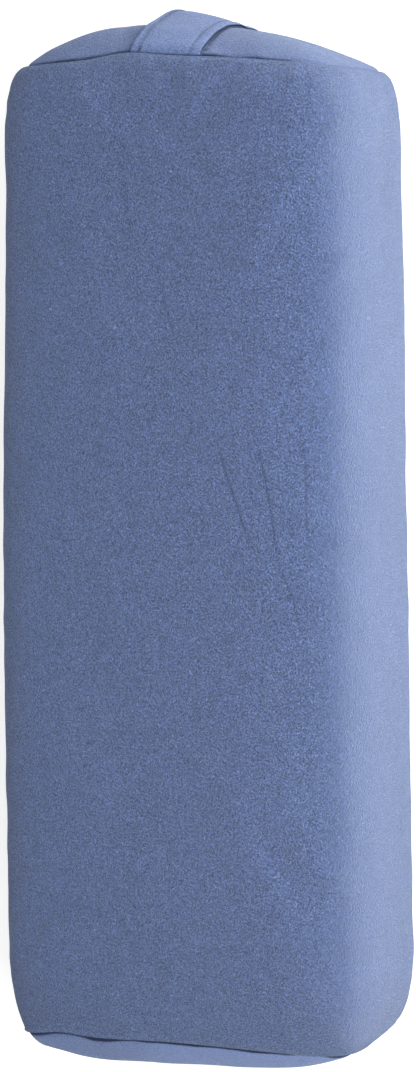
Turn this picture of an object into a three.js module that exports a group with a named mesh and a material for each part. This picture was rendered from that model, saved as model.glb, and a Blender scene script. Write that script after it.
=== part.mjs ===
// A rectangular yoga and meditation bolster in soft blue velour, lying on its back.
// One filled body in a wrap of cloth, a crowned panel sewn into each end, and a wide carry strap
// sewn into the front and back seams of one end panel.
// Millimetres. +X across the bolster, +Y along it towards the strap, +Z up from the surface it lies on.
import * as THREE from "three";

// Driving sizes of the filled body.
const seamToSeam = 650;
const halfWidth = 127.3;
const frontHeight = 73; // from the middle plane up to the front face, at the ends
const backHeight = 79; // from the middle plane down to the back, before the surface flattens it
const middlePlane = 76; // height of the middle plane above the surface
const plumpness = 3.5; // how much further every face swells at mid-length
const endTaper = 4.6; // how much the half width loses towards the strap end and gains towards the plain end
const sidewaysBow = 1.6; // how far the middle leans to -X
const cornerPowerMiddle = 4.4; // higher is squarer
const cornerPowerEnd = 5.3;

// The two ends. Insets are how far the body draws in to the seam, over the roll's length.
// A roll power of 0.5 is a quarter round, and 1 is a slanting one.
// A seam's wave pulls it towards the middle of the bolster, or out where it is less than nothing.
// Hollows are where the strap or a hand has pressed the panel in. One less than nothing is a bulge.
// A higher hollow fade carries them closer to the seam.
const strapEnd = {
  side: 1,
  roll: 40.8,
  insetLeft: 11.2,
  insetRight: 10.4,
  rollPowerLeft: 0.5,
  rollPowerRight: 0.5,
  crown: 22.2,
  crownLean: -7.5,
  crownPowerAcross: 3.5,
  cornerPullLeft: 4.8,
  cornerPullRight: 11.3,
  seamWave: { pull: -3.4, at: -26, spread: 22 },
  hollowFade: 6,
  hollows: [
    { depth: 3.2, x: 18, z: 80, reachX: 26, reachZ: 75, powerX: 2.5, powerZ: 6 },
    { depth: 4, x: -4, z: 40, reachX: 34, reachZ: 30, powerX: 2, powerZ: 2 },
    { depth: 1.2, x: -90, z: 76, reachX: 34, reachZ: 50, powerX: 2, powerZ: 2 },
    { depth: 1.4, x: 84, z: 76, reachX: 30, reachZ: 50, powerX: 2, powerZ: 2 },
  ],
};
const plainEnd = {
  side: -1,
  roll: 55.1,
  insetLeft: 8.5,
  insetRight: 14.3,
  rollPowerLeft: 0.91,
  rollPowerRight: 0.47,
  crown: 27.3,
  crownLean: -4.8,
  crownPowerAcross: 3.2,
  cornerPullLeft: -6.6,
  cornerPullRight: -2.9,
  seamWave: { pull: 3.3, at: -86, spread: 20 },
  hollowFade: 12,
  hollows: [
    { depth: -5.6, x: -114, z: 116, reachX: 14, reachZ: 46, powerX: 2, powerZ: 2 },
    { depth: -1.6, x: -89, z: 100, reachX: 25, reachZ: 40, powerX: 2, powerZ: 2 },
    { depth: -1.1, x: -1, z: 76, reachX: 28, reachZ: 60, powerX: 2, powerZ: 2 },
  ],
};
const crownPowerUp = 2.3; // roundness of both crowns from back to front
const pullPower = 1.5; // how late across the width a corner's pull sets in
const pullReach = 60; // how far from a seam its unevenness fades into the body

// Sewn panels and the seam around them.
const panelThickness = 2.4;
const seatGap = 0.6;
const seamGap = 0.5;
const seamDip = 1.3; // how far both edges turn down into the seam
const rimShare = 0.6; // the panel's thickness at its rim, as a share of the rest

// The strap's inner face, along its two edges, from the front seam over to the back seam.
const strapLeftX = -24;
const strapRightX = 24.4;
const strapThickness = 2.4;
const strapCrown = 1.6; // how much the middle of its width stands above a straight line
const strapSqueeze = { thickness: 0.5, length: 0.06 }; // its ends flatten where they enter the seam
const strapRoute = [
  { leftY: 327.5, leftZ: 139.0, rightY: 323.6, rightZ: 139.0 },
  { leftY: 330.8, leftZ: 136.0, rightY: 326.3, rightZ: 136.1 },
  { leftY: 334.3, leftZ: 130.9, rightY: 329.1, rightZ: 130.8 },
  { leftY: 338.2, leftZ: 124.4, rightY: 332.2, rightZ: 124.5 },
  { leftY: 342.0, leftZ: 117.4, rightY: 335.5, rightZ: 117.2 },
  { leftY: 345.4, leftZ: 108.6, rightY: 338.7, rightZ: 108.8 },
  { leftY: 348.2, leftZ: 98.8, rightY: 341.4, rightZ: 98.8 },
  { leftY: 351.3, leftZ: 88.6, rightY: 343.3, rightZ: 87.8 },
  { leftY: 354.2, leftZ: 79.0, rightY: 344.7, rightZ: 76.2 },
  { leftY: 356.4, leftZ: 68.6, rightY: 345.3, rightZ: 64.2 },
  { leftY: 357.3, leftZ: 57.4, rightY: 345.3, rightZ: 52.4 },
  { leftY: 356.6, leftZ: 46.4, rightY: 344.8, rightZ: 42.2 },
  { leftY: 354.3, leftZ: 36.4, rightY: 343.7, rightZ: 33.4 },
  { leftY: 350.0, leftZ: 27.2, rightY: 341.6, rightZ: 25.6 },
  { leftY: 343.6, leftZ: 19.4, rightY: 336.8, rightZ: 18.0 },
  { leftY: 335.8, leftZ: 12.8, rightY: 330.4, rightZ: 12.0 },
  { leftY: 327.5, leftZ: 7.8, rightY: 323.6, rightZ: 7.8 },
];

// How finely the surfaces are divided.
const pointsAround = 60;
const cornerBias = 55; // millimetres of outline that one radian of turning counts for
const rollSteps = 7;
const lengthSteps = 12;
const panelShares = [1, 0.965, 0.89, 0.79, 0.67, 0.54, 0.4, 0.24, 0.1];
const strapSteps = 32;
const outlineSamples = 1440;

// The body's middle stands off the origin, so that the origin is under the middle of the whole.
const bodyOffset = { x: 0.86, y: -2.83 };

const velour = () => new THREE.MeshStandardMaterial({ color: 0x66749b, roughness: 0.92, metalness: 0 });
const mix = (a, b, share) => a + (b - a) * share;
const clamp = (value, low, high) => Math.min(high, Math.max(low, value));

// Points round a rounded rectangle, closer together at its corners, as [x, height over the middle plane].
function softRectangle(half, up, down, power) {
  const fine = [];
  for (let i = 0; i <= outlineSamples; i++) {
    const turn = (i / outlineSamples) * 2 * Math.PI;
    const c = Math.cos(turn);
    const s = Math.sin(turn);
    const height = s > 0 ? up : down;
    const reach = (Math.abs(c / half) ** power + Math.abs(s / height) ** power) ** (-1 / power);
    fine.push([c * reach, s * reach]);
  }
  const along = [0];
  let heading = Math.PI / 2;
  for (let i = 1; i <= outlineSamples; i++) {
    const dx = fine[i][0] - fine[i - 1][0];
    const dz = fine[i][1] - fine[i - 1][1];
    const turn = Math.atan2(dz, dx) - heading;
    heading += Math.atan2(Math.sin(turn), Math.cos(turn));
    const turned = Math.abs(Math.atan2(Math.sin(turn), Math.cos(turn)));
    along.push(along[i - 1] + Math.hypot(dx, dz) + cornerBias * turned);
  }
  const points = [];
  let i = 1;
  for (let k = 0; k < pointsAround; k++) {
    const target = (k / pointsAround) * along[outlineSamples];
    while (along[i] < target) i++;
    const share = (target - along[i - 1]) / (along[i] - along[i - 1]);
    points.push([mix(fine[i - 1][0], fine[i][0], share), mix(fine[i - 1][1], fine[i][1], share)]);
  }
  return points;
}

// How far an end's seam is pulled towards the middle of the bolster at x.
function seamPull(end, x) {
  const corner = (x < 0 ? end.cornerPullLeft : end.cornerPullRight) * Math.abs(x / halfWidth) ** pullPower;
  const wave = end.seamWave;
  return corner + wave.pull * Math.exp(-(((x - wave.at) / wave.spread) ** 2));
}

// One ring of the body's surface at a place along its length. widen moves it out from the seam's line.
function bodyRing(y, widen = 0) {
  const end = y > 0 ? strapEnd : plainEnd;
  const reach = seamToSeam / 2;
  const share = y / reach;
  const swell = plumpness * (1 - share ** 2);
  const power = mix(cornerPowerMiddle, cornerPowerEnd, Math.abs(share) ** 3);
  const half = halfWidth + swell - endTaper * share;
  const outline = softRectangle(half, frontHeight + swell, backHeight + swell, power);
  const rolled = clamp((end.roll - (reach - Math.abs(y))) / end.roll, 0, 1);
  const pullShare = Math.exp(-(reach - Math.abs(y)) / pullReach);
  return outline.map(([x, z]) => {
    const side = clamp((1 + x / halfWidth) / 2, 0, 1);
    const inset = mix(end.insetLeft, end.insetRight, side);
    const rollPower = mix(end.rollPowerLeft, end.rollPowerRight, side);
    const drawn = inset * (1 - (1 - rolled ** 2) ** rollPower) - widen;
    const ringX = x * (1 - drawn / halfWidth);
    const ringZ = z * (1 - drawn / frontHeight);
    const ringY = y - end.side * seamPull(end, ringX) * pullShare;
    const lean = sidewaysBow * (1 - share ** 2);
    return new THREE.Vector3(ringX - lean, ringY, Math.max(0, middlePlane + ringZ));
  });
}

// How deep an end's panel is pressed in at a point.
function pressedDepth(end, x, z) {
  return end.hollows.reduce((depth, h) => {
    const across = Math.abs((x - h.x) / h.reachX) ** h.powerX;
    const up = Math.abs((z - h.z) / h.reachZ) ** h.powerZ;
    return depth + h.depth * Math.exp(-across - up);
  }, 0);
}

// A ring of an end's crowned surface at a share of the way from its middle to the seam.
function crownRing(end, seam, share) {
  const base = (end.side * seamToSeam) / 2;
  return seam.map((rim) => {
    const x = rim.x * share;
    const z = middlePlane + (rim.z - middlePlane) * share;
    const across = (rim.x / halfWidth) ** 2;
    const up = ((rim.z - middlePlane) / frontHeight) ** 2;
    const power = mix(end.crownPowerAcross, crownPowerUp, up / (across + up));
    const crown = (end.crown + (end.crownLean * x) / halfWidth) * (1 - share ** power);
    const pressed = pressedDepth(end, x, z) * (1 - share ** end.hollowFade);
    const y = base + (rim.y - base) * share ** 2 + end.side * (crown - pressed);
    return new THREE.Vector3(x, y, z);
  });
}

const shiftedRing = (ring, dy) => ring.map((p) => new THREE.Vector3(p.x, p.y + dy, p.z));

// Joins rings of equal length into one closed skin. Both ends close on a point.
function skinOf(rings, firstPoint, lastPoint, inward) {
  const count = rings[0].length;
  const points = [firstPoint, ...rings.flat(), lastPoint];
  const last = points.length - 1;
  const faces = [];
  for (let k = 0; k < count; k++) {
    const next = (k + 1) % count;
    faces.push([0, 1 + k, 1 + next]);
    for (let r = 0; r + 1 < rings.length; r++) {
      const here = 1 + r * count;
      const there = here + count;
      faces.push([here + k, there + k, there + next], [here + k, there + next, here + next]);
    }
    const final = 1 + (rings.length - 1) * count;
    faces.push([final + k, last, final + next]);
  }
  const order = inward ? faces.map(([a, b, c]) => [a, c, b]) : faces;
  const positions = points.flatMap((p) => [p.x, p.y, p.z]);
  const geometry = new THREE.BufferGeometry();
  geometry.setAttribute("position", new THREE.Float32BufferAttribute(positions, 3));
  geometry.setIndex(order.flat());
  geometry.computeVertexNormals();
  return geometry;
}

function namedMesh(name, geometry) {
  const mesh = new THREE.Mesh(geometry, velour());
  mesh.name = name;
  return mesh;
}

const seams = {
  plain: bodyRing(-seamToSeam / 2),
  strap: bodyRing(seamToSeam / 2),
};

// The rings of one end, from the seam inwards: a lip, the floor of the seam, then the seat of the panel.
function bodyEndRings(end, seam) {
  const sink = -end.side * (panelThickness + seatGap);
  const lip = shiftedRing(bodyRing((end.side * seamToSeam) / 2, seamGap), -end.side * seamDip);
  const floor = shiftedRing(bodyRing((end.side * seamToSeam) / 2, seamGap), sink - end.side * seamDip);
  const seat = panelShares.slice(1).map((share) => shiftedRing(crownRing(end, seam, share), sink));
  return [lip, floor, ...seat];
}

function crownTop(end, seam, dy) {
  const top = crownRing(end, seam, 0)[0];
  return new THREE.Vector3(0, top.y + dy, middlePlane);
}

function bodyGeometry() {
  const reach = seamToSeam / 2;
  const rings = [];
  for (let i = 1; i < rollSteps; i++) {
    rings.push(bodyRing(-reach + plainEnd.roll * (1 - Math.cos((i / rollSteps) * (Math.PI / 2)))));
  }
  for (let i = 0; i <= lengthSteps; i++) {
    rings.push(bodyRing(mix(-reach + plainEnd.roll, reach - strapEnd.roll, i / lengthSteps)));
  }
  for (let i = rollSteps - 1; i > 0; i--) {
    rings.push(bodyRing(reach - strapEnd.roll * (1 - Math.cos((i / rollSteps) * (Math.PI / 2)))));
  }
  const sink = panelThickness + seatGap;
  const all = [
    ...bodyEndRings(plainEnd, seams.plain).reverse(),
    ...rings,
    ...bodyEndRings(strapEnd, seams.strap),
  ];
  return skinOf(all, crownTop(plainEnd, seams.plain, sink), crownTop(strapEnd, seams.strap, -sink), false);
}

// A crowned cloth panel. Its rim turns down into the seam.
function panelGeometry(end, seam) {
  const under = -end.side * panelThickness;
  const outer = panelShares.map((share) => crownRing(end, seam, share));
  const inner = panelShares.slice(1).map((share) => shiftedRing(crownRing(end, seam, share), under));
  outer[0] = shiftedRing(outer[0], -end.side * seamDip);
  const rimUnder = shiftedRing(outer[0], under * rimShare);
  const all = [...outer.reverse(), rimUnder, ...inner];
  return skinOf(all, crownTop(end, seam, 0), crownTop(end, seam, under), end.side > 0);
}

// The strap's section: shares of its width, and of its thickness from the inner face at 0 to the outer at 1.
const strapSection = [
  [0, 0.3],
  [0.02, 0],
  [0.26, 0],
  [0.5, 0],
  [0.74, 0],
  [0.98, 0],
  [1, 0.3],
  [1, 0.7],
  [0.98, 1],
  [0.74, 1],
  [0.5, 1],
  [0.26, 1],
  [0.02, 1],
  [0, 0.7],
];

function strapGeometry() {
  const edge = (x, yColumn, zColumn) =>
    new THREE.CatmullRomCurve3(strapRoute.map((row) => new THREE.Vector3(x, row[yColumn], row[zColumn])));
  const left = edge(strapLeftX, "leftY", "leftZ");
  const right = edge(strapRightX, "rightY", "rightZ");
  const rings = [];
  for (let i = 0; i <= strapSteps; i++) {
    const share = i / strapSteps;
    const a = left.getPointAt(share);
    const b = right.getPointAt(share);
    const along = left.getTangentAt(share).add(right.getTangentAt(share)).normalize();
    const across = b.clone().sub(a).normalize();
    const out = across.clone().cross(along).normalize();
    const bend = strapCrown * Math.sin(Math.PI * share);
    const fromEnd = clamp(Math.min(share, 1 - share) / strapSqueeze.length, 0, 1);
    const thickness = strapThickness * mix(strapSqueeze.thickness, 1, fromEnd * (2 - fromEnd));
    rings.push(
      strapSection.map(([wide, thick]) => {
        const rise = bend * 4 * wide * (1 - wide) + thick * thickness;
        return a.clone().lerp(b, wide).addScaledVector(out, rise);
      }),
    );
  }
  const middleOf = (ring) =>
    ring.reduce((sum, p) => sum.add(p), new THREE.Vector3()).divideScalar(ring.length);
  return skinOf(rings, middleOf(rings[0]), middleOf(rings[strapSteps]), false);
}

const bolster = new THREE.Group();
bolster.position.set(bodyOffset.x, bodyOffset.y, 0);
bolster.add(
  namedMesh("filled_body", bodyGeometry()),
  namedMesh("end_panel_strap", panelGeometry(strapEnd, seams.strap)),
  namedMesh("end_panel_plain", panelGeometry(plainEnd, seams.plain)),
  namedMesh("carry_strap", strapGeometry()),
);

export default bolster;
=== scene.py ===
"""A rectangular meditation bolster in blue velour, lying on its back under soft daylight.

Lengths in the tables are millimetres in the bolster's own lines. place() brings them to the row frame.
"""

import math

import bmesh
import bpy
import numpy as np
from mathutils import Matrix, Vector, noise


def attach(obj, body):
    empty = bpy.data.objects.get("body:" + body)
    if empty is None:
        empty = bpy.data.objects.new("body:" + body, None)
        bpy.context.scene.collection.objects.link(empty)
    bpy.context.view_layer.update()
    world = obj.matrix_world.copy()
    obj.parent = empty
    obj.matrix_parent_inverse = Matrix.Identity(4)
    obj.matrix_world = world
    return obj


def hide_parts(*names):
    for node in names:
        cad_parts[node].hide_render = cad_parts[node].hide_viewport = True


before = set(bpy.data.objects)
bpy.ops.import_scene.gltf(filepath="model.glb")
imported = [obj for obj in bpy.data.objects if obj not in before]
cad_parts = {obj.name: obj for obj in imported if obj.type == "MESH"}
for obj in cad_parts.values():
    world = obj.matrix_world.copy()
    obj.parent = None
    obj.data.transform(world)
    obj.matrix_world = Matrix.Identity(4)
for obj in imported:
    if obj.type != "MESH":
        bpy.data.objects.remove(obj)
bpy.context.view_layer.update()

MM = 0.001
OFFSET = np.array([0.86, -2.83, 0.0])  # from the bolster's own middle to the row frame

# Sizes of the filled body
SEAM_TO_SEAM = 650.0
REACH = SEAM_TO_SEAM / 2
HALF_WIDTH = 127.3
FRONT_HEIGHT = 73.0
BACK_HEIGHT = 79.0
MIDDLE_PLANE = 76.0
PLUMPNESS = 3.5
END_TAPER = 4.6
SIDEWAYS_BOW = 1.6
SIDEWAYS_LEAN = {"by": 1.3, "at": 190.0, "spread": 110.0}
CORNER_POWER_MIDDLE = 4.4
CORNER_POWER_END = 5.3
STRAP_END = {
    "side": 1,
    "roll": 40.8,
    "inset": (11.2, 10.4),
    "roll_power": (0.5, 0.5),
    "crown": 22.2,
    "crown_lean": -7.5,
    "crown_power": 3.5,
    "corner_pull": (4.8, 11.3),
    "wave": {"pull": -3.4, "at": -26.0, "spread": 22.0},
    "hollow_fade": 6,
}
PLAIN_END = {
    "side": -1,
    "roll": 55.1,
    "inset": (8.5, 14.3),
    "roll_power": (0.91, 0.47),
    "crown": 27.3,
    "crown_lean": -4.8,
    "crown_power": 3.2,
    "corner_pull": (-6.6, -2.9),
    "wave": {"pull": 3.3, "at": -86.0, "spread": 20.0},
    "hollow_fade": 12,
}
CROWN_POWER_UP = 2.3
PULL_POWER = 1.5
PULL_REACH = 60.0
# Where each end panel is pressed in, or stands out where the depth is less than nothing
HOLLOWS = {
    1: [
        {"depth": 3.2, "x": 6, "z": 80, "reach_x": 17, "reach_z": 75, "power_x": 4, "power_z": 6},
        {"depth": 4.0, "x": -4, "z": 40, "reach_x": 34, "reach_z": 30, "power_x": 2, "power_z": 2},
        {"depth": 1.2, "x": -90, "z": 76, "reach_x": 34, "reach_z": 50, "power_x": 2, "power_z": 2},
        {"depth": 1.4, "x": 84, "z": 76, "reach_x": 30, "reach_z": 50, "power_x": 2, "power_z": 2},
    ],
    -1: [
        {"depth": -5.6, "x": -114, "z": 116, "reach_x": 14, "reach_z": 46, "power_x": 2, "power_z": 2},
        {"depth": -1.6, "x": -89, "z": 100, "reach_x": 25, "reach_z": 40, "power_x": 2, "power_z": 2},
        {"depth": -1.1, "x": -1, "z": 76, "reach_x": 28, "reach_z": 60, "power_x": 2, "power_z": 2},
    ],
}
CORNER_BIAS = 55.0

# Sewn panels and the seams around them
PANEL_THICKNESS = 2.2
PANEL_SEAT_GAP = 1.4
SEAM_WIDTH = 0.9
SEAM_DEPTH = 2.8
# How deep the front seam's furrow is drawn, from 0 to 1, at each x
SEAM_DRAWN = {
    1: [(-132, 1.0), (62, 1.0), (76, 0.8), (88, 0.12), (132, 0.08)],
    -1: [
        (-132, 1.0),
        (74, 1.0),
        (81, 0.45),
        (86, 0.1),
        (97, 0.1),
        (102, 0.9),
        (111, 0.9),
        (116, 0.15),
        (132, 0.15),
    ],
}
# How far in from its edge each panel is in the seam's shade, at each x
SEAM_SHADED = {
    1: [(-132, 1.35), (-112, 1.7), (62, 1.7), (76, 1.35), (132, 1.35)],
    -1: [
        (-132, 1.35),
        (-76, 1.35),
        (-60, 2.25),
        (76, 2.25),
        (86, 1.35),
        (98, 1.35),
        (106, 3.1),
        (114, 1.35),
        (132, 1.35),
    ],
}

# How finely the surfaces are divided
BODY_AROUND = 176
BODY_LENGTH_RINGS = 74
BODY_ROLL_RINGS = 13
PANEL_AROUND = 232
PANEL_RINGS = 46
STRAP_STEPS = 150
STRAP_FLAT_POINTS = 28

# The strap's inner face along its two edges, from the front seam over to the back seam
STRAP_LEFT_X = -24.0
STRAP_RIGHT_X = 24.4
STRAP_THICKNESS = 2.4
STRAP_CROWN = 1.6
STRAP_ROUTE = [
    {"left": (327.5, 139.0), "right": (323.6, 139.0)},
    {"left": (330.8, 136.0), "right": (326.3, 136.1)},
    {"left": (334.3, 130.9), "right": (329.1, 130.8)},
    {"left": (338.2, 124.4), "right": (332.2, 124.5)},
    {"left": (342.0, 117.4), "right": (335.5, 117.2)},
    {"left": (345.4, 108.6), "right": (338.7, 108.8)},
    {"left": (348.2, 98.8), "right": (341.4, 98.8)},
    {"left": (351.3, 88.6), "right": (343.9, 87.8)},
    {"left": (354.2, 79.0), "right": (345.0, 76.2)},
    {"left": (356.4, 68.6), "right": (345.2, 64.2)},
    {"left": (357.3, 57.4), "right": (344.0, 52.4)},
    {"left": (356.6, 46.4), "right": (344.0, 42.2)},
    {"left": (354.3, 36.4), "right": (343.5, 33.4)},
    {"left": (350.0, 27.2), "right": (341.6, 25.6)},
    {"left": (343.6, 19.4), "right": (336.8, 18.0)},
    {"left": (335.8, 12.8), "right": (330.4, 12.0)},
    {"left": (327.5, 7.8), "right": (323.6, 7.8)},
]
STITCH_INSET = (5.6, 7.4)  # from the left and the right edge
# The stitch rows' darkness is shade painted in their furrows.
STITCH_SHADE = (1.0, 0.4)  # how dark the left and the right row's furrow is
STITCH_PITCH = 3.6
STITCH_LENGTH = 2.7
STITCH_RADIUS = 0.32


def mix(a, b, share):
    return a + (b - a) * share


def ease(t):
    t = np.clip(t, 0.0, 1.0)
    return t * t * (3 - 2 * t)


# Camera. It stands over the front face, turned towards +X and a little towards the strap's end.
IMAGE = (416, 1072)
VIEW_YAW = math.radians(21.31)
VIEW_PITCH = math.radians(6.24)
VIEW_ROLL = math.radians(-0.64)
VIEW_DISTANCE = 2.0
FOCAL_PIXELS = 2970.8
TARGET_PIXEL = (206.58, 548.19)
TARGET = Vector((OFFSET[0], OFFSET[1], MIDDLE_PLANE)) * MM


def add_camera():
    back = Vector(
        (
            math.sin(VIEW_YAW) * math.cos(VIEW_PITCH),
            math.sin(VIEW_PITCH),
            math.cos(VIEW_YAW) * math.cos(VIEW_PITCH),
        )
    )
    up = Vector((0, 1, 0))
    up = (up - back * up.dot(back)).normalized()
    right = up.cross(back)
    c, s = math.cos(VIEW_ROLL), math.sin(VIEW_ROLL)
    right, up = right * c + up * s, up * c - right * s
    data = bpy.data.cameras.new("camera")
    camera = bpy.data.objects.new("camera", data)
    bpy.context.scene.collection.objects.link(camera)
    place_at = TARGET + back * VIEW_DISTANCE
    rows = [(right[i], up[i], back[i], place_at[i]) for i in range(3)]
    camera.matrix_world = Matrix((*rows, (0, 0, 0, 1)))
    longest = max(IMAGE)
    data.sensor_width = 36
    data.lens = data.sensor_width * FOCAL_PIXELS / longest
    data.shift_x = (IMAGE[0] / 2 - TARGET_PIXEL[0]) / longest
    data.shift_y = (TARGET_PIXEL[1] - IMAGE[1] / 2) / longest
    data.clip_start = 0.05
    data.clip_end = 30
    bpy.context.scene.camera = camera


# Shape of the filled body and of its two crowned ends
def soft_rectangle(half, up, down, power, count):
    """Points round a rounded rectangle, closer together at its corners, as (x, height over the middle)."""
    turn = np.linspace(0, 2 * np.pi, 2881)
    c, s = np.cos(turn), np.sin(turn)
    height = np.where(s > 0, up, down)
    reach = (np.abs(c / half) ** power + np.abs(s / height) ** power) ** (-1 / power)
    x, z = c * reach, s * reach
    dx, dz = np.diff(x), np.diff(z)
    heading = np.unwrap(np.arctan2(dz, dx))
    turned = np.abs(np.diff(heading, prepend=heading[0]))
    along = np.concatenate([[0], np.cumsum(np.hypot(dx, dz) + CORNER_BIAS * turned)])
    wanted = np.arange(count) / count * along[-1]
    return np.interp(wanted, along, x), np.interp(wanted, along, z)


def seam_pull(end, x):
    left, right = end["corner_pull"]
    corner = np.where(x < 0, left, right) * np.abs(x / HALF_WIDTH) ** PULL_POWER
    wave = end["wave"]
    return corner + wave["pull"] * np.exp(-(((x - wave["at"]) / wave["spread"]) ** 2))


def body_ring(y, count, widen=0.0):
    end = STRAP_END if y > 0 else PLAIN_END
    share = y / REACH
    swell = PLUMPNESS * (1 - share**2)
    power = mix(CORNER_POWER_MIDDLE, CORNER_POWER_END, abs(share) ** 3)
    half = HALF_WIDTH + swell - END_TAPER * share
    x, z = soft_rectangle(half, FRONT_HEIGHT + swell, BACK_HEIGHT + swell, power, count)
    rolled = min(max((end["roll"] - (REACH - abs(y))) / end["roll"], 0), 1)
    side = np.clip((1 + x / HALF_WIDTH) / 2, 0, 1)
    inset = mix(*end["inset"], side)
    roll_power = mix(*end["roll_power"], side)
    drawn = inset * (1 - (1 - rolled**2) ** roll_power) - widen
    x = x * (1 - drawn / HALF_WIDTH)
    z = z * (1 - drawn / FRONT_HEIGHT)
    ring_y = y - end["side"] * seam_pull(end, x) * math.exp(-(REACH - abs(y)) / PULL_REACH)
    lean = SIDEWAYS_LEAN["by"] * math.exp(-(((y - SIDEWAYS_LEAN["at"]) / SIDEWAYS_LEAN["spread"]) ** 2))
    x = x - SIDEWAYS_BOW * (1 - share**2) + lean
    return np.stack([x, ring_y, np.maximum(z + MIDDLE_PLANE, 0)], 1)


def pressed_depth(end, x, z):
    depth = 0
    for h in HOLLOWS[end["side"]]:
        across = np.abs((x - h["x"]) / h["reach_x"]) ** h["power_x"]
        up = np.abs((z - h["z"]) / h["reach_z"]) ** h["power_z"]
        depth = depth + h["depth"] * np.exp(-across - up)
    return depth


def crown_ring(end, seam, share):
    base = end["side"] * REACH
    x = seam[:, 0] * share
    z = MIDDLE_PLANE + (seam[:, 2] - MIDDLE_PLANE) * share
    across = (seam[:, 0] / HALF_WIDTH) ** 2
    up = ((seam[:, 2] - MIDDLE_PLANE) / FRONT_HEIGHT) ** 2
    power = mix(end["crown_power"], CROWN_POWER_UP, up / (across + up))
    crown = (end["crown"] + end["crown_lean"] * x / HALF_WIDTH) * (1 - share**power)
    crown = crown - pressed_depth(end, x, z) * (1 - share ** end["hollow_fade"])
    y = base + (seam[:, 1] - base) * share**2 + end["side"] * crown
    return np.stack([x, y, z], 1)


def moved(ring, dy):
    return ring + np.array([0, dy, 0])


# Mesh helpers
def skin(rings, first, last, flip):
    """A closed skin over rings of equal length, with a point at either end."""
    count = len(rings[0])
    points = np.concatenate([[first], *rings, [last]])
    k = np.arange(count)
    after = (k + 1) % count
    faces = [(0, 1 + a, 1 + b) for a, b in zip(k, after)]
    for r in range(len(rings) - 1):
        here, there = 1 + r * count, 1 + (r + 1) * count
        faces += [(here + a, there + a, there + b, here + b) for a, b in zip(k, after)]
    final = 1 + (len(rings) - 1) * count
    faces += [(final + a, len(points) - 1, final + b) for a, b in zip(k, after)]
    if flip:
        faces = [f[::-1] for f in faces]
    return points, faces


def place(points):
    return (points + OFFSET) * MM


def new_object(name, points, faces):
    mesh = bpy.data.meshes.new(name)
    mesh.from_pydata(place(points).tolist(), [], [tuple(int(i) for i in f) for f in faces])
    mesh.validate()
    mesh.shade_smooth()
    obj = bpy.data.objects.new(name, mesh)
    bpy.context.scene.collection.objects.link(obj)
    return obj


def read_points(obj):
    co = np.empty(len(obj.data.vertices) * 3)
    obj.data.vertices.foreach_get("co", co)
    return co.reshape(-1, 3) / MM - OFFSET


def read_normals(obj):
    out = np.empty(len(obj.data.vertices) * 3, np.float32)
    obj.data.vertex_normals.foreach_get("vector", out)
    return out.reshape(-1, 3).astype(float)


def write_points(obj, points):
    obj.data.vertices.foreach_set("co", place(points).ravel())
    obj.data.update()


def set_attribute(obj, name, values):
    attribute = obj.data.attributes.new(name, "FLOAT", "POINT")
    attribute.data.foreach_set("value", values.astype(np.float32))


def apply_modifiers(obj):
    bpy.context.view_layer.update()
    graph = bpy.context.evaluated_depsgraph_get()
    done = bpy.data.meshes.new_from_object(obj.evaluated_get(graph))
    obj.modifiers.clear()
    obj.data = done
    done.shade_smooth()


def soft_noise(points, size, seed):
    """Smooth noise from about -1 to 1, with bumps about size millimetres across."""
    shift = Vector((seed * 7.3, seed * 3.1, seed * 5.7))
    return np.array([noise.noise(Vector(p) / size + shift) for p in points])


def furrow(end, points):
    """How far the seam is drawn in at points near it, from 0 to 1."""
    x, share = np.array(SEAM_DRAWN[end["side"]]).T
    on_front = ease((points[:, 2] - 96) / 24)
    on_side = np.where((points[:, 0] > 60) & (points[:, 2] > 40), 0.1, 0.8) if end is STRAP_END else 0.8
    return mix(on_side, np.interp(points[:, 0], x, share), on_front)


# The filled body
def body_end_rings(end, seam):
    """The wrap's edge turned in at the seam, and the hidden seat that carries the end panel."""
    back = -end["side"]
    y = end["side"] * REACH
    drawn = furrow(end, seam)[:, None]
    turned = [(1.0, 0.15), (0.85, 0.9), (0.7, 2.0), (0.55, 3.6)]
    rings = []
    for wide, deep in turned:
        ring = body_ring(y, len(seam), SEAM_WIDTH * wide * mix(0.2, 1.0, drawn[:, 0]))
        rings.append(ring + np.array([0, back, 0]) * deep * mix(0.35, 1.0, drawn))
    floor = moved(body_ring(y, len(seam), SEAM_WIDTH * 0.4), back * (SEAM_DEPTH + PANEL_THICKNESS + 0.9))
    sink = back * (PANEL_THICKNESS + PANEL_SEAT_GAP)
    shares = (0.955, 0.86, 0.7, 0.5, 0.28, 0.1)
    seats = [moved(crown_ring(end, seam, share), sink) for share in shares]
    seats[0] = moved(seats[0], back * 1.2)
    return [*rings, floor, *seats]


def make_body():
    count = BODY_AROUND
    plain_seam = body_ring(-REACH, count)
    strap_seam = body_ring(REACH, count)
    quarter = np.linspace(0, math.pi / 2, BODY_ROLL_RINGS + 1)[1:]
    plain_y = [-REACH + PLAIN_END["roll"] * (1 - math.cos(t)) for t in quarter]
    strap_y = [REACH - STRAP_END["roll"] * (1 - math.cos(t)) for t in quarter][::-1]
    middle_y = np.linspace(plain_y[-1], strap_y[0], BODY_LENGTH_RINGS + 1)[1:-1]
    rings = [body_ring(y, count) for y in [*plain_y, *middle_y, *strap_y]]
    plain = body_end_rings(PLAIN_END, plain_seam)[::-1]
    strap = body_end_rings(STRAP_END, strap_seam)
    sink = PANEL_THICKNESS + PANEL_SEAT_GAP
    first = crown_ring(PLAIN_END, plain_seam, 0)[0] + np.array([0, sink, 0])
    last = crown_ring(STRAP_END, strap_seam, 0)[0] - np.array([0, sink, 0])
    points, faces = skin([*plain, *rings, *strap], first, last, False)
    obj = new_object("bolster_body", points, faces)
    held = (len(plain) * count + 1, len(plain) * count + 1 + len(rings) * count)
    return obj, held


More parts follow.
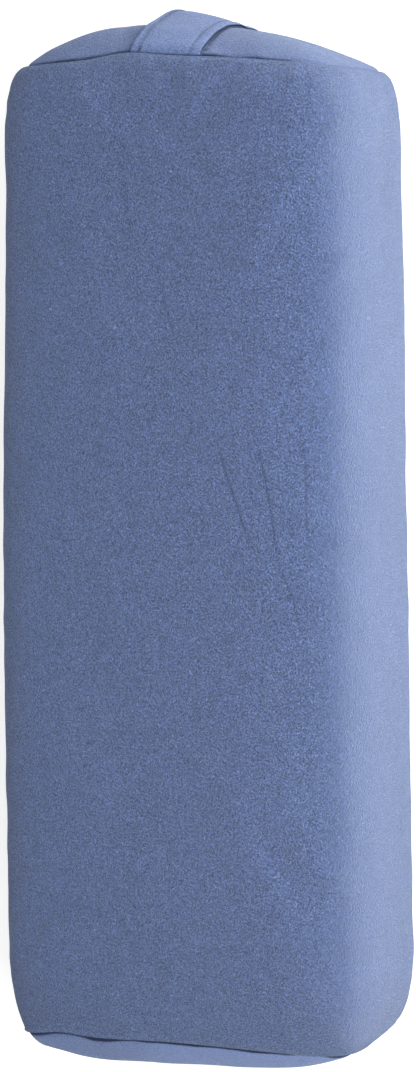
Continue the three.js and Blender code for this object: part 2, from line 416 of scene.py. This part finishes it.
def plump(obj, free_from, free_to, cap=1.2):
    """Fills the wrap with a little pressure.

    The fitted outline already holds the even swelling, so only the unevenness is kept, up to about cap.
    """
    rest = read_points(obj)
    group = obj.vertex_groups.new(name="sewn")
    from_seam = REACH - np.abs(rest[:, 1])
    index = np.arange(len(rest))
    free = (index >= free_from) & (index < free_to)
    for i in range(len(rest)):
        sewn = 1.0 if not free[i] else float(1 - ease(from_seam[i] / 22))
        group.add([i], sewn, "REPLACE")
    cloth = obj.modifiers.new("cloth", "CLOTH")
    settings = cloth.settings
    settings.quality = 6
    settings.mass = 0.3
    settings.tension_stiffness = 18
    settings.compression_stiffness = 18
    settings.shear_stiffness = 8
    settings.bending_stiffness = 1.5
    settings.use_pressure = True
    settings.uniform_pressure_force = 4
    settings.shrink_min = -0.012
    settings.vertex_group_mass = "sewn"
    settings.pin_stiffness = 1.0
    settings.effector_weights.gravity = 0
    cloth.collision_settings.use_collision = False
    cloth.point_cache.frame_start = 1
    cloth.point_cache.frame_end = 20
    for step in range(1, 21):
        bpy.context.scene.frame_set(step)
    apply_modifiers(obj)
    bpy.context.scene.frame_set(1)
    obj.vertex_groups.clear()
    move = (read_points(obj) - rest) * free[:, None]
    grid = move[free].reshape(-1, BODY_AROUND, 3)
    even = grid
    for _ in range(12):
        around = np.roll(even, 1, 1) + np.roll(even, -1, 1)
        along = np.concatenate([even[:1], even[:-1]]) + np.concatenate([even[1:], even[-1:]])
        even = 0.2 * (even + around + along)
    uneven = (grid - even).reshape(-1, 3)
    size = np.linalg.norm(uneven, axis=1, keepdims=True)
    kept = uneven * cap * np.tanh(size / cap) / np.maximum(size, 1e-6)
    sideways = np.abs(rest[free, 0:1] / HALF_WIDTH) ** 6
    final = rest.copy()
    final[free] += kept * mix(1.0, 0.35, np.minimum(sideways, 1))
    write_points(obj, final)


CREASE_WANDER = 1.2
CREASE_STRIP = 2.6
# Fine creases in the wrap, as lines seen from the front, with how much shade is painted in their bottoms
FRONT_CREASES = [
    {"start": (37, 86), "end": (61, 0), "width": 0.95, "depth": 0.45, "shade": 0.36},
    {"start": (65, 90), "end": (77, -2), "width": 0.9, "depth": 0.4, "shade": 0.3},
    {"start": (74, 12), "end": (98, -60), "width": 0.9, "depth": 0.35, "shade": 0.22},
    {"start": (92, 90), "end": (99, 0), "width": 0.9, "depth": 0.3, "shade": 0.2},
    {"start": (-9, 204), "end": (16, 128), "width": 1.0, "depth": 0.3, "shade": 0.22},
    {"start": (-30, 296), "end": (-20, 196), "width": 1.3, "depth": 0.2, "shade": 0.1},
    {"start": (-41, -30), "end": (-54, -90), "width": 1.4, "depth": 0.24, "shade": 0.14},
]


def crease(points, row, seed):
    """How deep in a crease each point lies, from 0 to 1, and how far it is from the crease's line."""
    a, b = np.array(row["start"]), np.array(row["end"])
    along = b - a
    length = np.linalg.norm(along)
    t = ((points[:, :2] - a) @ along) / length**2
    off = (points[:, 0] - a[0]) * along[1] - (points[:, 1] - a[1]) * along[0]
    off = off / length - CREASE_WANDER * np.sin(t * 6 + seed)
    on_front = points[:, 2] > 100
    fade = ease(t / 0.3) * ease((1 - t) / 0.3) * on_front
    away = np.where((t > -0.02) & (t < 1.02) & on_front, np.abs(off), 1000.0)
    return fade * np.exp(-((off / row["width"]) ** 2)), away


def refine_creases(obj):
    """Divides the faces along the creases more finely, so that the mesh can carry them."""
    points = read_points(obj)
    away = np.min([crease(points, row, i)[1] for i, row in enumerate(FRONT_CREASES)], axis=0)
    mesh = bmesh.new()
    mesh.from_mesh(obj.data)
    close = [f for f in mesh.faces if min(away[v.index] for v in f.verts) < CREASE_STRIP]
    edges = list({e for f in close for e in f.edges})
    bmesh.ops.subdivide_edges(mesh, edges=edges, cuts=2, use_grid_fill=True, smooth=0.0)
    mesh.to_mesh(obj.data)
    mesh.free()
    obj.data.shade_smooth()


def settle_body(obj):
    """Soft unevenness of the filling, puckers where the cloth is gathered into the seams, and folds."""
    refine_creases(obj)
    points, normals = read_points(obj), read_normals(obj)
    at_strap = points[:, 1] > 0
    pulled = np.where(at_strap, seam_pull(STRAP_END, points[:, 0]), seam_pull(PLAIN_END, points[:, 0]))
    from_seam = np.maximum(REACH - pulled - np.abs(points[:, 1]), 0)
    turned_in = np.clip(np.where(at_strap, normals[:, 1], -normals[:, 1]), 0, 1) ** 6
    turned_in = turned_in * np.exp(-from_seam / 1.5) + (from_seam < 0.2)
    sideways = np.abs(normals[:, 0]) ** 2
    out = (0.8 * soft_noise(points, 95, 1) + 0.4 * soft_noise(points, 42, 2)) * mix(1.0, 0.3, sideways)
    on_ring = np.stack([points[:, 0], points[:, 1] * 0.25, points[:, 2]], 1)
    gather = soft_noise(on_ring, 11, 3) * np.exp(-from_seam / 10)
    pull = soft_noise(on_ring, 24, 4) * np.exp(-from_seam / 30)
    calm = ease(from_seam / 5)
    out = out * ease(from_seam / 40) + (0.8 * gather + 1.1 * pull) * calm
    creased = np.zeros(len(points))
    for i, row in enumerate(FRONT_CREASES):
        near, _ = crease(points, row, i)
        out = out - row["depth"] * near
        creased = np.maximum(creased, row["shade"] * near)
    on_back = ease((10 - points[:, 2]) / 10)
    out = out * (1 - on_back)
    points = points + normals * out[:, None]
    points[:, 2] = np.maximum(points[:, 2], 0)
    write_points(obj, points)
    drawn = np.where(points[:, 1] > 0, furrow(STRAP_END, points), furrow(PLAIN_END, points))
    # Painted highlight along the wrap's rolled lip beside the seam.
    set_attribute(obj, "rub_and_highlight", np.exp(-((from_seam - 1.5) ** 2) / 2) * drawn)
    # Painted shade where the wrap's edge turns into the seam, and in the bottoms of the creases.
    set_attribute(obj, "shade", np.maximum(turned_in * drawn, creased))
    set_attribute(obj, "grain", mix(1.0, 0.03, ease((normals[:, 0] - 0.15) / 0.7)))


# The two sewn end panels
def make_panel(name, end):
    seam = body_ring(end["side"] * REACH, PANEL_AROUND)
    under = -end["side"] * PANEL_THICKNESS
    drawn = furrow(end, seam)[:, None]
    shares = 1 - np.linspace(0, 1, PANEL_RINGS + 1)[:-1] ** 1.6
    outer = []
    for share in shares:
        ring = crown_ring(end, seam, share)
        inward = (1 - share) * FRONT_HEIGHT
        dip = SEAM_DEPTH * mix(0.1, 1.0, drawn) * math.exp(-((inward / 1.5) ** 1.5))
        outer.append(ring - np.array([0, end["side"], 0]) * dip)
    inner = [moved(crown_ring(end, seam, s), under) for s in (0.96, 0.9, 0.8, 0.68, 0.54, 0.4, 0.26, 0.12)]
    rim = moved(outer[0], under * 0.7)
    inner[0] = moved(inner[0], under * 0.3)
    top = crown_ring(end, seam, 0)[0]
    points, faces = skin([*outer[::-1], rim, *inner], top, top + np.array([0, under, 0]), end["side"] > 0)
    obj = new_object(name, points, faces)
    settle_panel(obj, end, len(outer) * PANEL_AROUND + 1)
    area = sum(p.area for p in obj.data.polygons) / 2
    width, height = np.ptp(seam[:, 0]) * 1.06 * MM, np.ptp(seam[:, 2]) * 1.12 * MM
    area = min(area, width * height)
    return obj


def strap_underside(x, z):
    """Place along Y of the strap's inner face over its panel, rising away on both sides of the strap."""
    rows_z = np.array([row["left"][1] for row in STRAP_ROUTE])[::-1]
    left = np.interp(z, rows_z, np.array([row["left"][0] for row in STRAP_ROUTE])[::-1])
    right_z = np.array([row["right"][1] for row in STRAP_ROUTE])[::-1]
    right = np.interp(z, right_z, np.array([row["right"][0] for row in STRAP_ROUTE])[::-1])
    share = np.clip((x - STRAP_LEFT_X) / (STRAP_RIGHT_X - STRAP_LEFT_X), 0, 1)
    beyond = np.maximum(np.maximum(STRAP_LEFT_X - x, x - STRAP_RIGHT_X), 0)
    return mix(left, right, share) + 0.9 * beyond


PANEL_FOLDS = {
    1: [
        {"at": (-33, 128), "towards": (-46, 92), "width": 4.5, "depth": 1.3},
        {"at": (-60, 136), "towards": (-50, 108), "width": 6.0, "depth": 0.6},
        {"at": (112, 82), "towards": (88, 60), "width": 1.3, "depth": 0.7},
        {"at": (113, 74), "towards": (92, 54), "width": 1.2, "depth": 0.6},
        {"at": (32, 134), "towards": (44, 100), "width": 5.0, "depth": 0.8},
    ],
    -1: [
        {"at": (-104, 128), "towards": (-84, 112), "width": 3.0, "depth": 0.9},
        {"at": (-70, 136), "towards": (-64, 116), "width": 5.0, "depth": 0.7},
        {"at": (84, 130), "towards": (66, 112), "width": 4.0, "depth": 0.8},
        {"at": (60, 14), "towards": (48, 40), "width": 6.0, "depth": 0.8},
    ],
}


def settle_panel(obj, end, outer_count):
    points = read_points(obj)
    side = end["side"]
    ring_number = np.maximum(np.arange(len(points)) - 1, 0) // PANEL_AROUND
    ring_share = 1 - (np.maximum(PANEL_RINGS - 1 - ring_number, 0) / PANEL_RINGS) ** 1.6
    from_edge = (1 - ring_share) * FRONT_HEIGHT
    x, z = points[:, 0], points[:, 2] - MIDDLE_PLANE
    half, up = HALF_WIDTH - 11, FRONT_HEIGHT - 8
    share = (np.abs(x / half) ** 5 + np.abs(z / up) ** 5) ** 0.2
    from_seam = np.maximum(1 - share, 0) * up
    out = 0.7 * soft_noise(points, 60, 11 + side) + 0.35 * soft_noise(points, 28, 14 + side)
    gather = soft_noise(points, 10, 17 + side) * np.exp(-from_seam / 8)
    pull = soft_noise(points, 22, 20 + side) * np.exp(-from_seam / 22)
    out = out * ease(from_seam / 20) + (0.9 * gather + 1.3 * pull) * ease(from_seam / 3)
    for fold in PANEL_FOLDS[side]:
        a, b = np.array(fold["at"]), np.array(fold["towards"])
        along = b - a
        length = np.linalg.norm(along)
        flat = points[:, [0, 2]] - a
        t = (flat @ along) / length**2
        off = (flat[:, 0] * along[1] - flat[:, 1] * along[0]) / length
        fade = ease((t + 0.1) / 0.25) * ease((1.1 - t) / 0.6)
        out = out - fold["depth"] * fade * np.exp(-((off / fold["width"]) ** 2))
    outer = np.arange(len(points)) < outer_count
    points[:, 1] += side * out * outer * ease((from_seam + 0.5) / 2)
    if end is STRAP_END:
        limit = strap_underside(points[:, 0], points[:, 2]) - 0.5 - (1 - outer) * PANEL_THICKNESS
        softness = 0.5
        over = (points[:, 1] - limit) / softness
        pressed = softness * np.where(over > 20, over, np.log1p(np.exp(np.minimum(over, 20))))
        points[:, 1] -= pressed * (from_seam > 4)
    write_points(obj, points)
    drawn = furrow(end, points)
    upper = ease((points[:, 2] - 40) / 60)
    brushed_down = -1.7 * (1 - ease((points[:, 0] + 48) / 42)) * upper if end is PLAIN_END else 0
    set_attribute(obj, "rub_and_highlight", np.exp(-from_seam / 5) * 0.5 + brushed_down)
    # Painted shade in the seam along the panel's edge, and painted shadow along both edges of the strap
    # where it lies on the panel.
    reach = np.interp(points[:, 0], *np.array(SEAM_SHADED[side]).T)
    shade = drawn * (1 - ease((from_edge - reach) / 0.7)) * 0.95
    if end is STRAP_END:
        beside = np.exp(-(((points[:, 0] - STRAP_RIGHT_X - 0.3) / 0.9) ** 2)) * (points[:, 2] > 40)
        left_side = np.exp(-(((points[:, 0] - STRAP_LEFT_X + 0.2) / 0.8) ** 2)) * (points[:, 2] > 40)
        shade = np.maximum(shade, np.maximum(0.85 * beside, 0.6 * left_side))
    set_attribute(obj, "shade", shade)
    set_attribute(obj, "grain", np.full(len(points), 0.45))


# The carry strap
def curve_through(table, steps):
    """Evenly spaced points on a smooth curve through the table's points, its directions and its length."""
    p = np.array(table, float)
    chord = np.concatenate([[0], np.cumsum(np.linalg.norm(np.diff(p, axis=0), axis=1))])
    slope = np.gradient(p, chord, axis=0)
    fine = np.linspace(0, chord[-1], 1200)
    k = np.clip(np.searchsorted(chord, fine, side="right") - 1, 0, len(p) - 2)
    h = (chord[k + 1] - chord[k])[:, None]
    t = ((fine - chord[k])[:, None]) / h
    curve = (
        (2 * t**3 - 3 * t**2 + 1) * p[k]
        + (t**3 - 2 * t**2 + t) * h * slope[k]
        + (-2 * t**3 + 3 * t**2) * p[k + 1]
        + (t**3 - t**2) * h * slope[k + 1]
    )
    along = np.concatenate([[0], np.cumsum(np.linalg.norm(np.diff(curve, axis=0), axis=1))])
    wanted = np.linspace(0, along[-1], steps + 1)
    even = np.stack([np.interp(wanted, along, curve[:, i]) for i in range(curve.shape[1])], 1)
    direction = np.gradient(even, axis=0)
    return even, direction / np.linalg.norm(direction, axis=1, keepdims=True), along[-1]


def strap_frame(steps):
    left, left_way, left_length = curve_through([row["left"] for row in STRAP_ROUTE], steps)
    right, right_way, right_length = curve_through([row["right"] for row in STRAP_ROUTE], steps)
    a = np.column_stack([np.full(steps + 1, STRAP_LEFT_X), left])
    b = np.column_stack([np.full(steps + 1, STRAP_RIGHT_X), right])
    way = np.column_stack([np.zeros(steps + 1), left_way + right_way])
    way /= np.linalg.norm(way, axis=1, keepdims=True)
    across = b - a
    width = np.linalg.norm(across, axis=1)
    out = np.cross(across / width[:, None], way)
    out /= np.linalg.norm(out, axis=1, keepdims=True)
    return a, b, out, width, (left_length + right_length) / 2


def strap_rise(distance, width, share):
    """The band's own bend, and the relief of its outer face, at a distance from its left edge."""
    bend = STRAP_CROWN * np.sin(np.pi * share) * 4 * (distance / width) * (1 - distance / width)
    rows = (STITCH_INSET[0], width - STITCH_INSET[1])
    groove = sum(0.9 * np.exp(-(((distance - row) / 0.7) ** 2)) for row in rows)
    soft = 0.3 * ease((distance - rows[0]) / 6) * ease((rows[1] - distance) / 6)
    left_hem = 0.35 * np.exp(-(((distance - 2.6) / 2.0) ** 2))
    right_hem = 0.4 * np.exp(-(((width - distance - 3.4) / 2.6) ** 2))
    return bend, soft + (left_hem + right_hem) - groove


def make_strap():
    steps = STRAP_STEPS
    a, b, out, width, length = strap_frame(steps)
    share = np.linspace(0, 1, steps + 1)
    end = np.clip(np.minimum(share, 1 - share) / 0.06, 0, 1)
    thickness = STRAP_THICKNESS * mix(0.5, 1.0, end * (2 - end))
    corner = np.linspace(0, math.pi / 2, 5)
    rings = []
    for i in range(steps + 1):
        w, t = width[i], thickness[i]
        r = t * 0.42
        inset = r * (1 - np.sin(corner))
        flat_x = np.linspace(r, w - r, STRAP_FLAT_POINTS)
        inner_x = np.concatenate([inset[:-1], flat_x, w - inset[:-1][::-1]])
        low = r * (1 - np.cos(corner))
        inner_h = np.concatenate([r - low[:-1], np.zeros(STRAP_FLAT_POINTS), (r - low[:-1])[::-1]])
        outer_x = inner_x[::-1]
        bend_in, _ = strap_rise(inner_x, w, share[i])
        bend_out, relief = strap_rise(outer_x, w, share[i])
        edge = ease(np.minimum(outer_x, w - outer_x) / 1.6)
        outer_h = t - inner_h[::-1] + relief * edge * end[i]
        line = np.concatenate([inner_x, outer_x])
        height = np.concatenate([bend_in + inner_h, bend_out + outer_h])
        at = a[i] + (b[i] - a[i]) * (line / w)[:, None] + out[i] * height[:, None]
        rings.append(at)
    rings = [ring + ripple(ring, s) for ring, s in zip(rings, share)]
    points, faces = skin(rings, rings[0].mean(0), rings[-1].mean(0), False)
    obj = new_object("carry_band", points, faces)
    from_left = points[:, 0] - STRAP_LEFT_X
    from_right = STRAP_RIGHT_X - points[:, 0]
    near = np.minimum(np.abs(from_left), np.abs(from_right))
    # Painted shade in the two stitch furrows and under the right edge.
    left_row = STITCH_SHADE[0] * np.exp(-(((from_left - STITCH_INSET[0]) / 0.8) ** 2))
    right_row = STITCH_SHADE[1] * np.exp(-(((from_right - STITCH_INSET[1]) / 0.6) ** 2))
    under_edge = strap_edge_shade(len(rings), len(rings[0]))
    set_attribute(obj, "rub_and_highlight", np.exp(-near / 1.5) * 0.6)
    set_attribute(obj, "shade", np.clip(left_row + right_row + under_edge, 0, 1))
    set_attribute(obj, "grain", np.full(len(points), 0.6))
    return obj


def strap_edge_shade(ring_count, ring_size):
    """The right edge lies in the band's own shade, down in the panel's nap."""
    half = ring_size // 2
    place_in_ring = np.arange(ring_size)
    near_corner = np.abs(place_in_ring - half) <= 3
    one_ring = near_corner * 0.9
    return np.concatenate([[0], np.tile(one_ring, ring_count), [0]])


def ripple(ring, share):
    """A hand-sewn band's slight waviness, the same through its thickness."""
    middle = ring.mean(0)
    wave = 0.35 * math.sin(share * 19) + 0.2 * math.sin(share * 43 + 1)
    lift = np.zeros_like(ring)
    lift[:, 1] = wave * math.sin(math.pi * share) * np.cos((ring[:, 0] - middle[0]) / 13)
    return lift


def capsule(start, end, up, radius):
    """A short thread between two points that dips into the cloth at both ends."""
    way = end - start
    way = way / np.linalg.norm(way)
    side = np.cross(way, up)
    side /= np.linalg.norm(side)
    rings = []
    for t in np.linspace(0, 1, 9):
        arch = math.sin(math.pi * t)
        centre = mix(start, end, t) + up * radius * (1.5 * arch**0.6 - 1.1)
        r = radius * (0.55 + 0.45 * arch**0.5)
        turn = np.arange(8) / 8 * 2 * np.pi
        rings.append(centre + r * (np.cos(turn)[:, None] * side + np.sin(turn)[:, None] * up))
    return skin(rings, rings[0].mean(0), rings[-1].mean(0), True)


def make_stitches():
    steps = 1500
    a, b, out, width, _ = strap_frame(steps)
    share = np.linspace(0, 1, steps + 1)
    points, faces, total = [], [], 0
    for inset, from_left in ((STITCH_INSET[0], True), (STITCH_INSET[1], False)):
        distance = inset if from_left else width - inset
        distance = np.broadcast_to(distance, width.shape)
        bend, relief = strap_rise(distance, width, share)
        end = np.clip(np.minimum(share, 1 - share) / 0.06, 0, 1)
        height = bend + STRAP_THICKNESS * mix(0.5, 1.0, end * (2 - end)) + relief * end
        line = a + (b - a) * (distance / width)[:, None] + out * height[:, None]
        for i in range(len(line)):
            line[i] += ripple(np.stack([line[i], (a[i] + b[i]) / 2, (a[i] + b[i]) - line[i]]), share[i])[0]
        along = np.concatenate([[0], np.cumsum(np.linalg.norm(np.diff(line, axis=0), axis=1))])
        for k in range(int((along[-1] - 8) / STITCH_PITCH)):
            s0 = 4 + k * STITCH_PITCH
            reach = (s0, s0 + STITCH_LENGTH)
            ends = [np.array([np.interp(s, along, line[:, j]) for j in range(3)]) for s in reach]
            normal = np.array([np.interp(s0, along, out[:, j]) for j in range(3)])
            p, f = capsule(ends[0], ends[1], normal / np.linalg.norm(normal), STITCH_RADIUS)
            points.append(p)
            faces += [tuple(i + total for i in face) for face in f]
            total += len(p)
    return new_object("band_stitching", np.concatenate(points), faces)


# Materials
def node(tree, kind, **values):
    made = tree.nodes.new(kind)
    for key, value in values.items():
        if key in made.inputs:
            made.inputs[key].default_value = value
        else:
            setattr(made, key, value)
    return made


def noise_of(tree, where, scale, detail, roughness, distortion=0.0):
    made = tree.nodes.new("ShaderNodeTexNoise")
    made.inputs["Scale"].default_value = scale
    made.inputs["Detail"].default_value = detail
    made.inputs["Roughness"].default_value = roughness
    made.inputs["Distortion"].default_value = distortion
    tree.links.new(where, made.inputs["Vector"])
    return made.outputs["Fac"]


def math_of(tree, operation, a, b):
    made = tree.nodes.new("ShaderNodeMath")
    made.operation = operation
    for socket, value in zip(made.inputs, (a, b)):
        if isinstance(value, (int, float)):
            socket.default_value = value
        else:
            tree.links.new(value, socket)
    return made.outputs[0]


def ramp_of(tree, factor, stops):
    made = tree.nodes.new("ShaderNodeValToRGB")
    ramp = made.color_ramp
    while len(ramp.elements) < len(stops):
        ramp.elements.new(0.5)
    for element, (at, colour) in zip(ramp.elements, stops):
        element.position = at
        element.color = (*colour, 1)
    tree.links.new(factor, made.inputs["Fac"])
    return made.outputs["Color"]


BASE_BLUE = (0.091, 0.134, 0.292)
# Pale and dark variation at each scale of the pile: its scale per metre, detail and share of the whole.
# The fine ones follow the "grain" attribute, which is less where light rakes over the nap.
NAP_SCALES = [
    {"scale": 12, "detail": 2, "share": 0.06, "fine": False},
    {"scale": 46, "detail": 1, "share": 0.06, "fine": False},
    {"scale": 210, "detail": 0, "share": 0.02, "fine": False},
    {"scale": 620, "detail": 0, "share": 0.03, "fine": True},
    {"scale": 1200, "detail": 0, "share": 1.0, "fine": True},
]
WORM_SCALE = 780
WORM_SHARE = 0.05


def velour(name, tone=1.0, nap=1.0):
    """Short-piled velour: brushed patches, mottled nap and fine grain, paler where it is rubbed,
    with a painted highlight along the wrap's rolled seam lip.

    Where the rubbing attribute is less than nothing, the nap is brushed down and looks darker.
    Where the shade attribute is set, painted shade darkens the colour towards a deep blue and takes the
    sheen away.
    """
    material = bpy.data.materials.new(name)
    material.use_nodes = True
    tree = material.node_tree
    shader = tree.nodes["Principled BSDF"]
    coordinates = tree.nodes.new("ShaderNodeTexCoord").outputs["Object"]
    stretch = tree.nodes.new("ShaderNodeMapping")
    stretch.inputs["Scale"].default_value = (1.0, 0.8, 1.0)
    stretch.inputs["Rotation"].default_value = (0.2, 0.1, 0.5)
    tree.links.new(coordinates, stretch.inputs["Vector"])
    worms = noise_of(tree, coordinates, WORM_SCALE, 0, 0.5, 1.2)
    ridge = math_of(tree, "ABSOLUTE", math_of(tree, "SUBTRACT", worms, 0.5), 0)
    furrowed = math_of(tree, "MINIMUM", math_of(tree, "MULTIPLY", ridge, 6.0), 1.0)
    value = 0.5
    fine_value = math_of(tree, "MULTIPLY", math_of(tree, "SUBTRACT", furrowed, 0.6), WORM_SHARE)
    layers = []
    for row in NAP_SCALES:
        layer = noise_of(tree, stretch.outputs["Vector"], row["scale"], row["detail"], 0.55, 0.4)
        layers.append(layer)
        part = math_of(tree, "MULTIPLY", math_of(tree, "SUBTRACT", layer, 0.5), row["share"])
        if row["fine"]:
            fine_value = math_of(tree, "ADD", fine_value, part)
        else:
            value = math_of(tree, "ADD", value, part)
    grain = tree.nodes.new("ShaderNodeAttribute")
    grain.attribute_name = "grain"
    value = math_of(tree, "ADD", value, math_of(tree, "MULTIPLY", fine_value, grain.outputs["Fac"]))
    # Paler where the cloth is rubbed, and a painted highlight along the wrap's rolled seam lip.
    rub_and_highlight = tree.nodes.new("ShaderNodeAttribute")
    rub_and_highlight.attribute_name = "rub_and_highlight"
    value = math_of(tree, "ADD", value, math_of(tree, "MULTIPLY", rub_and_highlight.outputs["Fac"], 0.06))
    dark = [c * 0.5 * tone for c in BASE_BLUE]
    middle = [c * tone for c in BASE_BLUE]
    pale = [min(c * 1.6 * tone, 1) for c in BASE_BLUE]
    colour = ramp_of(tree, value, [(0.25, dark), (0.5, middle), (0.75, pale)])
    # Painted shade: where the shade attribute is set (seam furrows, crease bottoms, stitch furrows, the
    # strap's edge and its shadow on the panel), the colour is mixed towards a deep blue and the sheen is
    # taken away.
    shade = tree.nodes.new("ShaderNodeAttribute")
    shade.attribute_name = "shade"
    deep = tree.nodes.new("ShaderNodeMix")
    deep.data_type = "RGBA"
    deep.inputs["B"].default_value = (*[c * 0.18 for c in BASE_BLUE], 1)
    tree.links.new(shade.outputs["Fac"], deep.inputs["Factor"])
    tree.links.new(colour, deep.inputs["A"])
    tree.links.new(deep.outputs["Result"], shader.inputs["Base Color"])
    shader.inputs["Roughness"].default_value = 0.95
    shader.inputs["Specular IOR Level"].default_value = 0.15
    unshaded = math_of(tree, "SUBTRACT", 1.0, shade.outputs["Fac"])
    tree.links.new(math_of(tree, "MULTIPLY", unshaded, 0.45), shader.inputs["Sheen Weight"])
    shader.inputs["Sheen Roughness"].default_value = 0.3
    shader.inputs["Sheen Tint"].default_value = (0.72, 0.82, 1.0, 1)
    coarse = node(tree, "ShaderNodeBump", Strength=0.05 * nap, Distance=0.0012)
    tree.links.new(layers[2], coarse.inputs["Height"])
    middling = node(tree, "ShaderNodeBump", Strength=0.3 * nap, Distance=0.0008)
    tree.links.new(layers[3], middling.inputs["Height"])
    tree.links.new(coarse.outputs["Normal"], middling.inputs["Normal"])
    pile = math_of(tree, "ADD", math_of(tree, "MULTIPLY", furrowed, 0.7), layers[4])
    fine = node(tree, "ShaderNodeBump", Strength=1.0 * nap, Distance=0.0011)
    tree.links.new(pile, fine.inputs["Height"])
    tree.links.new(middling.outputs["Normal"], fine.inputs["Normal"])
    tree.links.new(fine.outputs["Normal"], shader.inputs["Normal"])
    return material


def thread_material():
    material = bpy.data.materials.new("sewing_thread")
    material.use_nodes = True
    tree = material.node_tree
    shader = tree.nodes["Principled BSDF"]
    coordinates = tree.nodes.new("ShaderNodeTexCoord").outputs["Object"]
    twist = noise_of(tree, coordinates, 2400, 2, 0.5)
    colour = ramp_of(tree, twist, [(0.35, (0.06, 0.08, 0.17)), (0.65, (0.12, 0.155, 0.3))])
    tree.links.new(colour, shader.inputs["Base Color"])
    shader.inputs["Roughness"].default_value = 0.6
    bump = node(tree, "ShaderNodeBump", Strength=0.5, Distance=0.0001)
    tree.links.new(twist, bump.inputs["Height"])
    tree.links.new(bump.outputs["Normal"], shader.inputs["Normal"])
    return material


# Stage and light. The room is brighter beyond the strap's end.
ROOM_LIGHT = 0.575
ROOM_STRAP_END = 0.75
ROOM_COLOUR = (0.995, 1.0, 0.98, 1)
FLOOR_HALF = 20.0
FLOOR_GLOW = 0.36
LAMP_COLOUR = (1.02, 1.0, 0.93)
LAMPS = [
    {"name": "low_window", "at": (1.35, 0.75, 0.09), "size": (0.8, 0.16), "power": 19.0},
    {"name": "high_panel", "at": (0.65, 0.0, 0.8), "size": (1.2, 0.3), "power": 11.6},
]


def add_stage():
    corners = np.array([[-1, -1, 0], [1, -1, 0], [1, 1, 0], [-1, 1, 0]]) * FLOOR_HALF / MM
    floor = new_object("floor", corners, [(0, 1, 2, 3)])
    floor.location.z = -0.0002
    material = bpy.data.materials.new("pale_floor")
    material.use_nodes = True
    shader = material.node_tree.nodes["Principled BSDF"]
    shader.inputs["Base Color"].default_value = (0.93, 0.93, 0.93, 1)
    shader.inputs["Emission Color"].default_value = (1, 1, 1, 1)
    shader.inputs["Emission Strength"].default_value = FLOOR_GLOW
    shader.inputs["Roughness"].default_value = 0.9
    shader.inputs["Specular IOR Level"].default_value = 0.1
    floor.data.materials.append(material)
    world = bpy.data.worlds.new("soft_room")
    world.use_nodes = True
    background = world.node_tree.nodes["Background"]
    background.inputs["Color"].default_value = ROOM_COLOUR
    tree = world.node_tree
    direction = tree.nodes.new("ShaderNodeTexCoord").outputs["Generated"]
    split = tree.nodes.new("ShaderNodeSeparateXYZ")
    tree.links.new(direction, split.inputs["Vector"])
    towards = math_of(tree, "MAXIMUM", split.outputs["Y"], 0.0)
    strength = math_of(tree, "ADD", ROOM_LIGHT, math_of(tree, "MULTIPLY", towards, ROOM_STRAP_END))
    tree.links.new(strength, background.inputs["Strength"])
    bpy.context.scene.world = world


def add_light(name, at, towards, size, power, colour):
    data = bpy.data.lights.new(name, "AREA")
    data.shape = "RECTANGLE"
    data.size, data.size_y = size
    data.energy = power
    data.color = colour
    light = bpy.data.objects.new(name, data)
    bpy.context.scene.collection.objects.link(light)
    light.location = at
    light.rotation_euler = (Vector(towards) - Vector(at)).to_track_quat("-Z", "Y").to_euler()
    light.visible_camera = False


def main():
    scene = bpy.context.scene
    scene.view_settings.view_transform = "Standard"
    scene.view_settings.look = "None"
    add_camera()
    add_stage()
    for lamp in LAMPS:
        add_light(lamp["name"], lamp["at"], (0, 0, 0.08), lamp["size"], lamp["power"], LAMP_COLOUR)

    wrap = velour("velour_wrap")
    # The end panels and the band are lighter and darker copies of the wrap's velour; their tones paint how
    # the light falls on each piece and how its nap reflects it.
    strap_end_cloth = velour("velour_strap_end", 0.89, 0.6)
    plain_end_cloth = velour("velour_plain_end", 1.5, 0.6)
    band = velour("velour_band", 1.16, 0.7)

    body, held = make_body()
    plump(body, *held)
    finer = body.modifiers.new("finer", "SUBSURF")
    finer.levels = finer.render_levels = 1
    apply_modifiers(body)
    settle_body(body)
    body.data.materials.append(wrap)
    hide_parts("filled_body")

    strap_panel = make_panel("end_cloth_strap", STRAP_END)
    plain_panel = make_panel("end_cloth_plain", PLAIN_END)
    strap_panel.data.materials.append(strap_end_cloth)
    plain_panel.data.materials.append(plain_end_cloth)
    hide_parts("end_panel_strap")
    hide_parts("end_panel_plain")

    strap = make_strap()
    strap.data.materials.append(band)
    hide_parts("carry_strap")
    stitches = make_stitches()
    stitches.data.materials.append(thread_material())

    pieces = (body, strap_panel, plain_panel, strap, stitches)
    for obj in pieces:
        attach(obj, "root")

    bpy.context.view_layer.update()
    count = sum(len(p.vertices) - 2 for obj in pieces for p in obj.data.polygons)
    print("triangles in all:", count)


main()
